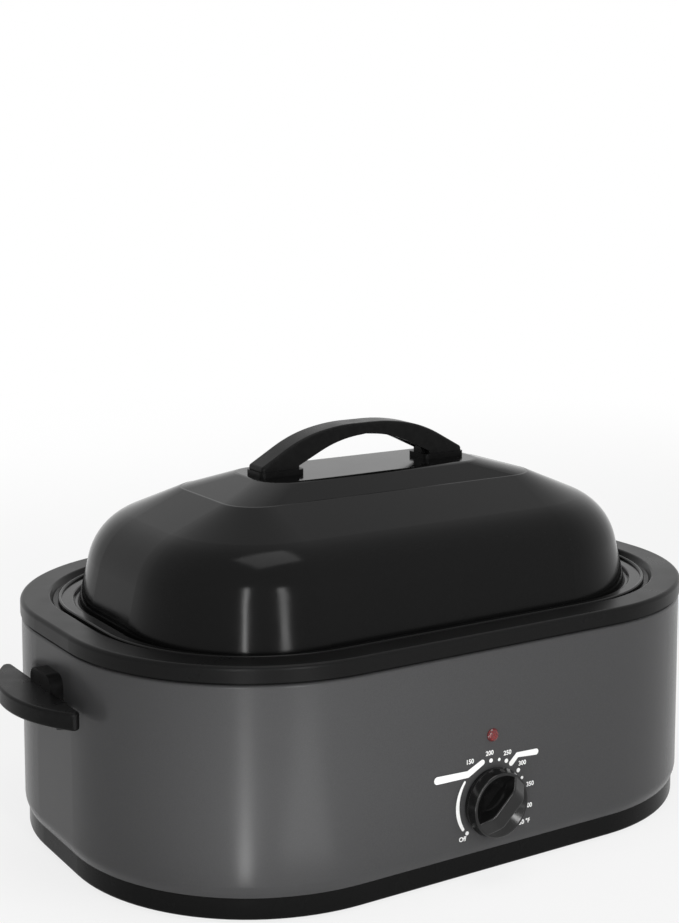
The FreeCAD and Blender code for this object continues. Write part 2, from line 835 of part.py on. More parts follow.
def make_rods():
    """Two sheathed heating rods round the well, with their ends at the rear."""
    for name, height in (("lower_heating_rod", "LowerRodHeight"), ("upper_heating_rod", "UpperRodHeight")):
        body = new_body(name, z=height)
        x = f"({HALF_LENGTH} - {ROD_INSET})"
        y = f"({HALF_WIDTH} - {ROD_INSET})"
        bend = f"(BodyCorner - {ROD_INSET})"
        end = f"({y} + RodEndOut)"
        route = new_sketch(body, "XY_Plane")
        add_chain(route, [
            ("RodEndSpread", end), ("RodEndSpread", y, "RodEndBend"),
            (x, y, bend), (x, f"-{y}", bend), (f"-{x}", f"-{y}", bend), (f"-{x}", y, bend),
            ("-RodEndSpread", y, "RodEndBend"), ("-RodEndSpread", end),
        ], closed=False)
        section = new_sketch(body, "XZ_Plane", f"-{end}")
        add_circle(section, "RodEndSpread", "0", "RodRadius")
        pipe(body, section, route)


def make_blanket():
    """Insulation round the rods, open where the controls and the wiring are."""
    body = new_body("insulation_blanket", z="BlanketBottom")
    outer = f"({BLANKET_INNER} - BlanketThick)"
    height = f"({BLANKET_TOP} - BlanketBottom)"
    ring(body, [(outer, "0"), (outer, height), (BLANKET_INNER, height), (BLANKET_INNER, "0")], outer)
    low = "(WindowBottom - BlanketBottom)"
    high = "(WindowTop - BlanketBottom)"
    front = new_sketch(body, "XZ_Plane")
    add_chain(front, [("-FrontWindowHalf", low), ("FrontWindowHalf", low),
                      ("FrontWindowHalf", high), ("-FrontWindowHalf", high)])
    cut(body, front, "BodyWidth", reverse=True)
    rear = new_sketch(body, "XZ_Plane")
    add_chain(rear, [("-RearWindowLeft", low), ("RearWindowRight", low),
                     ("RearWindowRight", high), ("-RearWindowLeft", high)])
    cut(body, rear, "BodyWidth")


# ---------------------------------------------------------------------------
# Controls on the front. Their own +Z points out of the panel, from its outer face.

def on_panel(label, height, turn=TO_FRONT):
    """An empty body on the panel, above the dial's place."""
    return new_body(label, x="DialPlace", y=f"-{HALF_WIDTH}", z=height, turn=turn)


def make_thermostat():
    body = on_panel("thermostat", "DialHeight")
    case = new_sketch(body, "XY_Plane", "-BandWall")
    add_chain(case, rectangle("ThermostatWidth / 2", "ThermostatHeight / 2"))
    pad(body, case, "ThermostatDepth", reverse=True)
    bushing = new_sketch(body, "XY_Plane", "-BandWall")
    add_circle(bushing, "0", "0", "BushingRadius")
    pad(body, bushing, "BandWall + BushingOut")
    bore = new_sketch(body, "XY_Plane", "BushingOut")
    add_circle(bore, "0", "0", "ShaftRadius + RunningGap")
    cut(body, bore, "BushingOut + ShaftInside + HoleExtra")

    nut = on_panel("thermostat_nut", "DialHeight")
    hexagon = new_sketch(nut, "XY_Plane")
    add_chain(hexagon, [
        (f"NutFlats / 2 / cos(30) * cos({60 * side})", f"NutFlats / 2 / cos(30) * sin({60 * side})")
        for side in range(6)
    ])
    add_circle(hexagon, "0", "0", "BushingRadius + RunningGap")
    pad(nut, hexagon, "NutHeight")

    shaft = on_panel("thermostat_shaft", "DialHeight")
    turned(shaft, [("0", "-ShaftInside"), ("ShaftRadius", "-ShaftInside"),
                   ("ShaftRadius", "ShaftOutside"), ("0", "ShaftOutside")])


def make_knob():
    """A dished round skirt, and an arched grip bar that points at OFF while the knob is at rest."""
    turn = TO_FRONT * FreeCAD.Rotation(Z_AXIS, value("KnobOffAngle"))
    body = on_panel("control_knob", "DialHeight", turn)
    bar = new_sketch(body, "YZ_Plane")
    end = "(KnobShoulder - KnobLand / 2)"
    add_chain(bar, both_halves([
        (end, "KnobDishHeight - Overlap"), (end, "KnobShoulderHeight - KnobLandBend"),
        ("KnobGripHalf", "KnobHeight", "KnobGripBend"),
    ]))
    pad(body, bar, "KnobGripWidth", both=True)
    low = value("KnobShoulderHeight")
    fillet(body, "KnobGripEdge", lambda edge: edge.BoundBox.XLength < 0.01 and edge.BoundBox.ZMax > low)
    turned(body, [
        ("0", "KnobGap"), ("KnobRadius - KnobDraft", "KnobGap"),
        ("KnobRadius", "KnobGap + KnobRimHeight", "KnobRimBend"),
        ("KnobShoulder", "KnobShoulderHeight", "KnobShoulderBend"),
        ("KnobShoulder - KnobLand", "KnobShoulderHeight", "KnobLandBend"),
        ("KnobDish", "KnobDishHeight", "KnobDishBend"), ("0", "KnobDishHeight"),
    ])
    recess = new_sketch(body, "XY_Plane", "KnobGap")
    add_circle(recess, "0", "0", "KnobRecess")
    cut(body, recess, "KnobRecessDepth", reverse=True)
    bore = new_sketch(body, "XY_Plane", "KnobGap")
    add_circle(bore, "0", "0", "ShaftRadius + RunningGap")
    cut(body, bore, "ShaftOutside - KnobGap + HoleExtra", reverse=True)


def make_lamp():
    lens = on_panel("pilot_lens", DIAL_LAMP)
    turned(lens, [
        ("0", "-LensStemDepth"), ("LensStem", "-LensStemDepth"), ("LensStem", "0"),
        ("LensRadius", "0"), ("LensRadius", "LensFlange"),
        ("LensRadius - LensDomeEdge", "LensFlange + LensDome", "LensDomeBend"),
        ("0", "LensFlange + LensDome"),
    ])
    lamp = on_panel("pilot_lamp", DIAL_LAMP)
    turned(lamp, [
        ("0", "-BandWall - LampDepth"), ("LampRadius", "-BandWall - LampDepth"),
        ("LampRadius", "-BandWall"), ("LensStem + RunningGap", "-BandWall"),
        ("LensStem + RunningGap", "-LensStemDepth - HoleGap"), ("0", "-LensStemDepth - HoleGap"),
    ])


# ---------------------------------------------------------------------------
# Wiring at the rear

def make_gland():
    body = new_body("cord_gland", x="GlandPlace", y=HALF_WIDTH, z="GlandHeight", turn=TO_REAR)
    inner = "(-BandWall - GlandInnerThick)"
    turned(body, [
        ("GlandMouth", inner), ("GlandInner", inner), ("GlandInner", "-BandWall"),
        ("GlandNeck", "-BandWall"), ("GlandNeck", "0"), ("GlandFlange", "0"),
        ("GlandFlange", "GlandFlangeThick", "GlandBend"), ("GlandNeck + GlandShoulder", "GlandFlangeThick"),
        ("GlandNose", "GlandReach", "GlandBend"), ("GlandBore", "GlandReach"),
        ("GlandBore", "GlandMouthEnd"), ("GlandMouth", "GlandMouthEnd"),
    ])


def make_wiring():
    block = new_body("terminal_block", x="BlockPlace", y=HALF_WIDTH, z="BlockHeight", turn=TO_REAR)
    base = new_sketch(block, "XY_Plane", "-BandWall")
    add_chain(base, rectangle("BlockWidth / 2", "BlockTall / 2", "BlockBend"))
    pad(block, base, "BlockDepth", reverse=True)

    x = f"({HALF_LENGTH} - LeadInset)"
    y = f"({HALF_WIDTH} - LeadInset)"
    bend = "(BodyCorner - LeadInset)"
    for name, side in (("lead_left", -1), ("lead_right", 1)):
        body = new_body(name, z="LeadHeight")
        start = f"(BlockPlace + {side} * BlockWidth / 2)"
        route = new_sketch(body, "XY_Plane")
        add_chain(route, [
            (start, y), (f"{side} * {x}", y, bend), (f"{side} * {x}", f"-{y}", bend),
            (f"DialPlace + {side} * ThermostatWidth / 2", f"-{y}"),
        ], closed=False)
        section = new_sketch(body, "YZ_Plane", start)
        add_circle(section, y, "0", "LeadRadius")
        pipe(body, section, route)

    fuse = new_body("thermal_fuse", x="FusePlace", y=f"{HALF_WIDTH} - {WELL_OUTSIDE} + FuseRadius + RodGap",
                    z="FuseHeight")
    section = new_sketch(fuse, "YZ_Plane")
    add_circle(section, "0", "0", "FuseRadius")
    pad(fuse, section, "FuseLength", both=True)


# ---------------------------------------------------------------------------
# Side handles. Their own +X points away from the body, from the band's end wall.

def make_side_handle(side, turn, mirror):
    wall = f"{mirror}{HALF_LENGTH}"
    body = new_body(f"side_handle_{side}", x=wall, z=HANDLE_HEIGHT, turn=turn)
    shelf = new_sketch(body, "XY_Plane")
    centre = value("HandleReach - HandleArc")
    start = value("HandleGap")
    angle = math.acos((start - centre) / value("HandleArc"))
    high = value("HandleArc") * math.sin(angle)
    circle = Part.Circle(FreeCAD.Vector(centre, 0, 0), Z_AXIS, value("HandleArc"))
    shelf.addGeometry([
        Part.ArcOfCircle(circle, -angle, angle),
        Part.LineSegment(FreeCAD.Vector(start, high, 0), FreeCAD.Vector(start, -high, 0)),
    ], False)
    bind(shelf, [
        Sketcher.Constraint("Coincident", 0, 2, 1, 1),
        Sketcher.Constraint("Coincident", 1, 2, 0, 1),
        Sketcher.Constraint("Vertical", 1),
        Sketcher.Constraint("PointOnObject", 0, 3, -1),
        Sketcher.Constraint("Radius", 0, value("HandleArc")),
        Sketcher.Constraint("DistanceX", -1, 1, 0, 3, centre),
        Sketcher.Constraint("DistanceX", -1, 1, 1, 1, start),
    ], [(4, "HandleArc"), (5, "HandleReach - HandleArc"), (6, "HandleGap")])
    pad(body, shelf, "HandleThick")
    fillet(body, "HandleEnd", lambda edge: edge.BoundBox.XLength + edge.BoundBox.YLength < 0.01)
    fillet(body, "HandleEdge", lambda edge: edge.BoundBox.ZLength < 0.01)
    block = new_sketch(body, "YZ_Plane")
    add_chain(block, [
        ("-MountWidth / 2", "0"), ("MountWidth / 2", "0"),
        ("MountWidth / 2", "MountHeight", "MountRound"), ("-MountWidth / 2", "MountHeight", "MountRound"),
    ])
    pad(body, block, "HandleGap + MountInto")
    nubs = new_sketch(body, "XY_Plane")
    for way in ("", "-"):
        add_circle(nubs, "HandleGap + NubRadius * 2", f"{way}NubPlace", "NubRadius")
    pad(body, nubs, "NubHeight", reverse=True)
    holes = new_sketch(body, "YZ_Plane")
    for way in ("", "-"):
        add_circle(holes, f"{way}HandleScrewSpread / 2", "HandleScrewRise", "HandleScrewRadius + RunningGap")
    cut(body, holes, "HandleScrewReach + HoleExtra", reverse=True)

    screws = new_body(f"handle_screws_{side}", x=wall, z=HANDLE_HEIGHT, turn=turn)
    inside = "(-BandWall - PlateThick)"
    for radius, start, end in (
        ("HandleScrewRadius", inside, "HandleScrewReach"),
        ("HandleScrewHeadRadius", f"{inside} - HandleScrewHead", inside),
    ):
        sketch = new_sketch(screws, "YZ_Plane", start)
        for way in ("", "-"):
            add_circle(sketch, f"{way}HandleScrewSpread / 2", "HandleScrewRise", radius)
        pad(screws, sketch, f"{end} - ({start})")

    plate = new_body(f"handle_plate_{side}", z=HANDLE_HEIGHT, turn=turn)
    low, high = ("(HandleScrewRise - PlateHeight / 2)", "(HandleScrewRise + PlateHeight / 2)")
    inner = "(BandWall + PlateThick)"
    ring(plate, [("BandWall", low), ("BandWall", high), (inner, high), (inner, low)], "BandWall")
    beyond = rectangle("BodyWidth", "BodyWidth")
    far_side = new_sketch(plate, "YZ_Plane")
    add_chain(far_side, beyond)
    cut(plate, far_side, "BodyLength")
    around = new_sketch(plate, "YZ_Plane")
    add_chain(around, beyond)
    add_chain(around, rectangle("PlateWidth / 2", "PlateHeight / 2", "PlateBend", y="HandleScrewRise"))
    cut(plate, around, "BodyLength", reverse=True)
    holes = new_sketch(plate, "YZ_Plane")
    for way in ("", "-"):
        add_circle(holes, f"{way}HandleScrewSpread / 2", "HandleScrewRise", "HandleScrewRadius + RunningGap")
    cut(plate, holes, "BodyLength", reverse=True)


# ---------------------------------------------------------------------------
# Pan

def make_pan():
    body = new_body("roasting_pan", z=PAN_TOP)
    depth = f"({PAN_FLOOR} - {PAN_TOP})"
    run = f"({PAN_FOOT} + PanBottomBend + PanFloorRun)"
    corners = [
        ("-PanOverhang", "-PanLipDrop"), ("-PanOverhang", "0", "PanLipBend"),
        (PAN_RIM_INNER, "0", "PanRimBend"), (PAN_LEDGE_INSET, "-PanLedgeDrop", "PanLedgeBend"),
        (PAN_MOUTH, "-PanLedgeDrop", "PanMouthBend"), (PAN_FOOT, depth, "PanBottomBend"), (run, depth),
    ]
    sheet_ring(body, corners, "PanWall", PAN_MOUTH)
    floor(body, f"{run} - Overlap", "PanWall", depth)


# ---------------------------------------------------------------------------
# Rack. Its own origin is at the height of the end bars' centre.

def bent_edges(points, bends):
    """Straight runs through the points, with an arc at each inner point."""
    edges = []
    start = points[0]
    for index, bend in enumerate(bends, start=1):
        before, corner, after = points[index - 1], points[index], points[index + 1]
        back = (before - corner).normalize()
        ahead = (after - corner).normalize()
        half = back.getAngle(ahead) / 2
        reach = bend / math.tan(half)
        middle = corner + (back + ahead).normalize() * (bend / math.sin(half) - bend)
        first, last = corner + back * reach, corner + ahead * reach
        edges.append(Part.LineSegment(start, first).toShape())
        edges.append(Part.Arc(first, middle, last).toShape())
        start = last
    edges.append(Part.LineSegment(start, points[-1]).toShape())
    return edges


def round_wire(edges, radius):
    """A round wire of the given radius along the edges."""
    path = Part.Wire(edges)
    start = path.Edges[0]
    circle = Part.Circle(start.valueAt(start.FirstParameter), start.tangentAt(start.FirstParameter), radius)
    return path.makePipeShell([Part.Wire(circle.toShape())], True, False)


def add_shape(label, shape, x="0", y="0", z="0", turn=UPRIGHT):
    """A sub-part whose shape is set directly."""
    feature = doc.addObject("Part::Feature", label)
    feature.Label = label
    feature.Shape = shape
    place(feature, x, y, z, turn)
    parts.append(feature)


def make_rack_rail():
    """One closed wire: high end bars, and long sides that drop and bulge to stand on."""
    end = value("RackLength / 2")
    side = value("RackWidth / 2")
    low = -value("RackSideDrop")
    shoulder = end - value("RackShoulder")
    foot = shoulder - value("RackSlope")
    wide = value(f"{HALF_WIDTH} - {RACK_FOOT}")
    quarter = [(end, side, 0), (shoulder, side, 0), (foot, wide, low)]
    around = quarter + [(-x, y, z) for x, y, z in reversed(quarter)]
    around += [(-x, -y, z) for x, y, z in around]
    points = [FreeCAD.Vector(end, 0, 0)] + [FreeCAD.Vector(*point) for point in around]
    points.append(points[0])
    corner, slope = value("RackCornerBend"), value("RackSideBend")
    bends = [corner, slope, slope, slope, slope, corner] * 2
    edges = bent_edges(points, bends)
    add_shape("rack_rail", round_wire(edges, value("RailRadius")), z=RACK_HEIGHT)


def make_rack_wires():
    """A row of long wires under the end bars, each with a dip at its middle."""
    level = "(-RailRadius - WeldGap - WireRadius)"
    tip = "(RackLength / 2 + RackWireTip)"
    for number in range(1, RACK_WIRES + 1):
        y = f"{number - (RACK_WIRES + 1) / 2} * RackWirePitch"
        body = new_body(f"rack_wire_{number}", y=y, z=RACK_HEIGHT)
        route = new_sketch(body, "XZ_Plane")
        add_chain(route, [
            (f"-{tip}", level), ("-CradleHalf", level, "CradleBend"),
            ("0", f"{level} - CradleDepth", "CradleBend"), ("CradleHalf", level, "CradleBend"),
            (tip, level),
        ], closed=False)
        section = new_sketch(body, "YZ_Plane", f"-{tip}")
        add_circle(section, "0", level, "WireRadius")
        pipe(body, section, route)
    under = f"({level} - WeldGap - WireRadius * 2)"
    for side, sign in (("left", "-"), ("right", "")):
        body = new_body(f"rack_crossbar_{side}", x=f"{sign}(RackLength / 2 - CrossbarInboard)", z=RACK_HEIGHT)
        section = new_sketch(body, "XZ_Plane")
        add_circle(section, "0", under, "WireRadius")
        pad(body, section, "CrossbarHalf * 2", both=True)


def make_rack_bail(side, sign, turn):
    """A lifting bail that turns on an end bar and lies folded inwards at rest.

    Drawn for the left end, with its own origin on the bar: +X points inwards.
    """
    loop = value("RailRadius + BailGap + BailRadius")
    eye = value("BailPlace")
    shoulder = (value("BailShoulder"), value("BailShoulderRise"))
    tip = (value("BailReach"), value("BailTipRise"))
    lean = math.atan2(shoulder[1], shoulder[0]) + math.acos(loop / math.hypot(*shoulder))

    def on_eye(angle, y):
        return FreeCAD.Vector(loop * math.cos(angle), y, loop * math.sin(angle))

    tail = lean + math.radians(value("BailHook"))
    halfway = (lean + tail) / 2
    points = [
        on_eye(lean, eye),
        FreeCAD.Vector(shoulder[0], eye, shoulder[1]),
        FreeCAD.Vector(tip[0], value("BailTipHalf"), tip[1]),
        FreeCAD.Vector(tip[0], -value("BailTipHalf"), tip[1]),
        FreeCAD.Vector(shoulder[0], -eye, shoulder[1]),
        on_eye(lean, -eye),
    ]
    edges = [Part.Arc(on_eye(tail, eye), on_eye(halfway, eye), on_eye(lean, eye)).toShape()]
    edges += bent_edges(points, [value("BailBend")] * 4)
    edges.append(Part.Arc(on_eye(lean, -eye), on_eye(halfway, -eye), on_eye(tail, -eye)).toShape())
    shape = round_wire(edges, value("BailRadius"))
    add_shape(f"rack_bail_{side}", shape, x=f"{sign}(RackLength / 2)", z=RACK_HEIGHT, turn=turn)


# ---------------------------------------------------------------------------
# Lid. Its own origin is at the height of the flange's underside.

def crown_outlines(body, inset, rise):
    """The lower and upper outline of the raised crown that carries the handle."""
    low = new_sketch(body, "XY_Plane", f"{rise} + LidCreaseHeight")
    add_chain(low, outline(f"{CROWN_INSET} + {inset}"))
    high = new_sketch(body, "XY_Plane", f"{rise} + LidCrownHeight")
    half_x = f"(GripLength / 2 + CrownMargin - ({inset}))"
    corners = rectangle(half_x, f"CrownHalfWidth - ({inset})", f"CrownCorner - ({inset})")
    add_chain(high, [(half_x, "0")] + corners)
    return low, high


def make_lid():
    body = new_body("lid_shell", z=LID_SEAT)
    top = "LidWall"
    groove = "(LidWall - LidGrooveDepth)"
    edge = f"({LID_EDGE} + LidBead)"
    corners = [
        (edge, top), (f"{LID_GROOVE} - LidGrooveRun", top, "LidGrooveBend"),
        (LID_GROOVE, groove, "LidGrooveBend"), (LID_FOOT, groove, "LidGrooveInnerBend"),
        (LID_SHOULDER, "LidWall + LidShoulderHeight", "LidShoulderBend"),
        (LID_CREASE, "LidWall + LidCreaseHeight", "LidCreaseBend"),
        (f"{LID_CREASE} + LidLedge", "LidWall + LidCreaseHeight"),
    ]
    path = ring_path(body, LID_EDGE)
    section = new_sketch(body, "XZ_Plane")
    add_sheet(section, at_side(corners), "LidWall")
    pipe(body, section, path)
    bead = new_sketch(body, "XZ_Plane")
    add_circle(bead, f"{HALF_LENGTH} - {edge}", "LidBead", "LidBead")
    pipe(body, bead, path)
    loft(body, "PartDesign::AdditiveLoft", crown_outlines(body, "0", "LidWall"))
    doc.recompute()
    top = value("LidWall + LidCrownHeight")
    fillet(body, "LidCrownBend", lambda edge: edge.BoundBox.ZMin > top - 0.01)
    loft(body, "PartDesign::SubtractiveLoft", crown_outlines(body, "CrownLip", "0"))
    holes = new_sketch(body, "XY_Plane", "LidWall + LidCrownHeight")
    for side in ("", "-"):
        add_circle(holes, f"{side}(GripLength / 2 - GripFoot / 2)", "0", "ScrewRadius + HoleGap")
    cut(body, holes, "LidWall * 4", both=True)


def make_grip():
    """An arched handle on two collars, held by a screw in each foot from inside the lid."""
    place_x = "(GripLength / 2 - GripFoot / 2)"
    opening = "(GripLength / 2 - GripFoot)"
    body = new_body("lid_handle", z=f"{CROWN_TOP} + CollarHeight")
    outer = new_sketch(body, "XZ_Plane")
    add_chain(outer, both_halves([
        ("GripLength / 2", "0"), ("GripLength / 2", "GripEndHeight", "GripEndBend"),
        ("GripShoulderHalf", "GripShoulderHeight", "GripShoulderBend"),
        ("GripCrownHalf", "GripCrownHeight", "GripCrownBend"),
    ]))
    pad(body, outer, "GripWidth", both=True)
    fillet(body, "GripEdge", lambda edge: edge.BoundBox.YLength < 0.01 and edge.BoundBox.ZMax > 0.01)
    arch = new_sketch(body, "XZ_Plane")
    half = [(opening, "0"), (opening, "GripStep"), ("GripArchHalf", "GripArchHeight", "GripArchBend")]
    add_chain(arch, half + [("0", "GripArchTop")] + mirrored(half))
    cut(body, arch, "GripWidth * 2", both=True)
    channel = new_sketch(body, "XZ_Plane")
    slope = "(GripShoulderHeight - GripEndHeight) / (GripLength / 2 - GripShoulderHalf)"
    add_chain(channel, both_halves([
        (opening, "0"), (opening, f"GripEndHeight + GripFoot * {slope} - GripRoof"),
        ("GripCrownHalf", "GripCrownHeight - GripRoof"),
    ]))
    cut(body, channel, "GripChannel", both=True)
    holes = new_sketch(body, "XY_Plane")
    for side in ("", "-"):
        add_circle(holes, f"{side}{place_x}", "0", "ScrewRadius + RunningGap")
    cut(body, holes, "LidScrewReach - CollarHeight + HoleExtra", reverse=True)

    for side, sign, turn in (("left", "-", HALF_TURN), ("right", "", UPRIGHT)):
        collar = new_body(f"lid_collar_{side}", x=f"{sign}{place_x}", z=CROWN_TOP, turn=turn)
        foot = new_sketch(collar, "XY_Plane")
        outer_x = "(GripFoot / 2 + CollarMargin)"
        inner_x = "(GripFoot / 2 + CollarInner)"
        wide = "(GripWidth / 2 + CollarMargin)"
        add_chain(foot, [
            (outer_x, wide, "CollarBend"), (f"-{inner_x}", wide, "CollarBend"),
            (f"-{inner_x}", f"-{wide}", "CollarBend"), (outer_x, f"-{wide}", "CollarBend"),
        ])
        pad(collar, foot, "CollarHeight")
        fin = new_sketch(collar, "YZ_Plane", "-(GripFoot / 2 + FinGap)")
        top = "(CollarHeight + FinSide)"
        add_chain(fin, [
            ("-FinHalf", "CollarHeight - FinRoot"), ("FinHalf", "CollarHeight - FinRoot"), ("FinHalf", top),
            ("0", "CollarHeight + FinHeight"), ("-FinHalf", top),
        ])
        pad(collar, fin, "FinThick", reverse=True)
        bolt = new_sketch(collar, "XY_Plane")
        add_circle(bolt, "0", "0", "ScrewRadius + HoleGap")
        cut(collar, bolt, "CollarHeight", reverse=True)

    under = f"({CROWN_TOP} - LidWall)"
    washers = new_body("lid_washers", z=under)
    screws = new_body("lid_screws", z=f"{under} - WasherThick")
    rings = new_sketch(washers, "XY_Plane")
    heads = new_sketch(screws, "XY_Plane")
    shanks = new_sketch(screws, "XY_Plane")
    for side in ("", "-"):
        add_circle(rings, f"{side}{place_x}", "0", "WasherRadius")
        add_circle(rings, f"{side}{place_x}", "0", "ScrewRadius + HoleGap")
        add_circle(heads, f"{side}{place_x}", "0", "ScrewHeadRadius")
        add_circle(shanks, f"{side}{place_x}", "0", "ScrewRadius")
    pad(washers, rings, "WasherThick", reverse=True)
    pad(screws, heads, "ScrewHeadHeight", reverse=True)
    pad(screws, shanks, "WasherThick + LidWall + LidScrewReach")


# ---------------------------------------------------------------------------
# Build, check and write

make_tray()
make_feet()
make_posts()
make_reflector()
make_band()
make_rim()
make_liner()
make_rods()
make_blanket()
make_thermostat()
make_knob()
make_lamp()
make_gland()
make_wiring()
make_side_handle("right", UPRIGHT, "")
make_side_handle("left", HALF_TURN, "-")
make_pan()
make_rack_rail()
make_rack_wires()
make_rack_bail("left", "-", UPRIGHT)
make_rack_bail("right", "", HALF_TURN)
make_lid()
make_grip()
doc.recompute()

for item in doc.Objects:
    if "Invalid" in item.State or "Error" in item.State:
        raise RuntimeError(f"{item.Label} ({item.TypeId}) did not compute: {item.State}")

os.makedirs("parts", exist_ok=True)
for item in parts:
    shape = item.Shape
    if shape.isNull() or not shape.isValid() or not shape.Solids or shape.Volume <= 0:
        raise RuntimeError(f"{item.Label} has no valid shape")
    shape.exportStep(f"parts/{item.Label}.step")
    print(f"{item.Label:24s} {len(shape.Solids):2d} solids {shape.Volume:12.1f} mm3")
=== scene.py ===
import json
import math

import bpy
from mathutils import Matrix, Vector


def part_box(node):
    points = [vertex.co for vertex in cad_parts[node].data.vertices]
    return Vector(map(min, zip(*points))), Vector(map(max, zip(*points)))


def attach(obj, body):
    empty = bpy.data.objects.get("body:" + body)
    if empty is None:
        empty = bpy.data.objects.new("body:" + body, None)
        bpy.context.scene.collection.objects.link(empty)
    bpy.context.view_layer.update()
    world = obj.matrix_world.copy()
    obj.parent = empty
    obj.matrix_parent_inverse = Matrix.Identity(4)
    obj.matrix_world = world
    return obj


# Looks of an electric roaster oven. The frame is in metres: +X to the right along the
# body, -Y to the front with the control knob, +Z up, and z = 0 on the table.

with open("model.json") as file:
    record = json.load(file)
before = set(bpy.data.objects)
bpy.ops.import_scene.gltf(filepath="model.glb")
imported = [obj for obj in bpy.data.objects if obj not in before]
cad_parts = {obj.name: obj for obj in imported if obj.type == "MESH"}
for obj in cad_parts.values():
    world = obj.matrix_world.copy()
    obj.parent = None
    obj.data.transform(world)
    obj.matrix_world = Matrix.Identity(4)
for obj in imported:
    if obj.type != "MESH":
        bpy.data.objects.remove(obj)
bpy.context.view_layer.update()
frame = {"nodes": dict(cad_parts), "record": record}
SLOT_OF = {part["node"]: part["material_slot"] for part in frame["record"]["subparts"]}
MM = 0.001

# Camera
FRAME_HEIGHT = 923
CAMERA_AZIMUTH = math.radians(-32.87)
CAMERA_DISTANCE = 1.301
CAMERA_HEIGHT = 0.517
CAMERA_TURN = math.radians(0.66)
CAMERA_PITCH = math.radians(6.27)
FOCAL_PIXELS = 1634.7
HORIZON_ROW = 341
SENSOR = 36.0

# Thickness of the ink of the dial print, in metres
PRINT_THICK = 0.1 * MM

# Dial print on the front of the band, in millimetres from the dial's centre and in degrees
# clockwise from the top
OFF_ANGLE = -132.5
LAST_ANGLE = 130
DOT_CIRCLE = 29.9
LARGE_DOT, SMALL_DOT, OFF_DOT = 1.6, 1.2, 1.5
DOTS = (
    (OFF_ANGLE, OFF_DOT), (-2, LARGE_DOT), (12.5, SMALL_DOT), (25.8, LARGE_DOT), (54, LARGE_DOT),
    (68, SMALL_DOT), (82.9, LARGE_DOT), (95, SMALL_DOT), (107, LARGE_DOT), (118.5, SMALL_DOT),
    (LAST_ANGLE, LARGE_DOT),
)
NUMBER_CIRCLE = 35.7
NUMBER_HEIGHT = 3.5
NUMBER_SQUEEZE = 0.98
NUMBER_SWELL = 0.10
# How much of the font's size a digit takes up in height
DIGIT_SHARE = 0.73
# Number, its angle on the dial, and how far outside the circle it stands
NUMBERS = (
    ("150", -31.6, 2.6), ("200", -3.7, 0), ("250", 23.1, 0),
    ("300", 51.2, 0), ("350", 82.1, 0), ("400", 108.5, 0),
)
UNIT_SHIFT = 2.0
OFF_WORD_CIRCLE = 35.4
# The arc widens from its start at OFF and narrows again
ARC_CIRCLE = 30.6
ARC_ANGLES = range(-123, -52, 5)
ARC_WIDTH, ARC_SWELL = 1.7, 1.3
ARC_FIRST_SHARE, ARC_STEPS = 0.15, 16
# Bent bands of ink as points and the width at each
BARS = {
    "low_heat_bar": ([(-48.6, 24.4), (-21.6, 23.7), (-8.9, 30.0)], (5.6, 5.0, 4.2)),
    "thaw_bar": ([(17.6, 24.2), (23.2, 29.4), (40.5, 28.4)], (4.0, 3.8, 4.6)),
}
DISC_STEPS = 28
CAP_STEPS = 12


# ---------------------------------------------------------------------------
# Materials

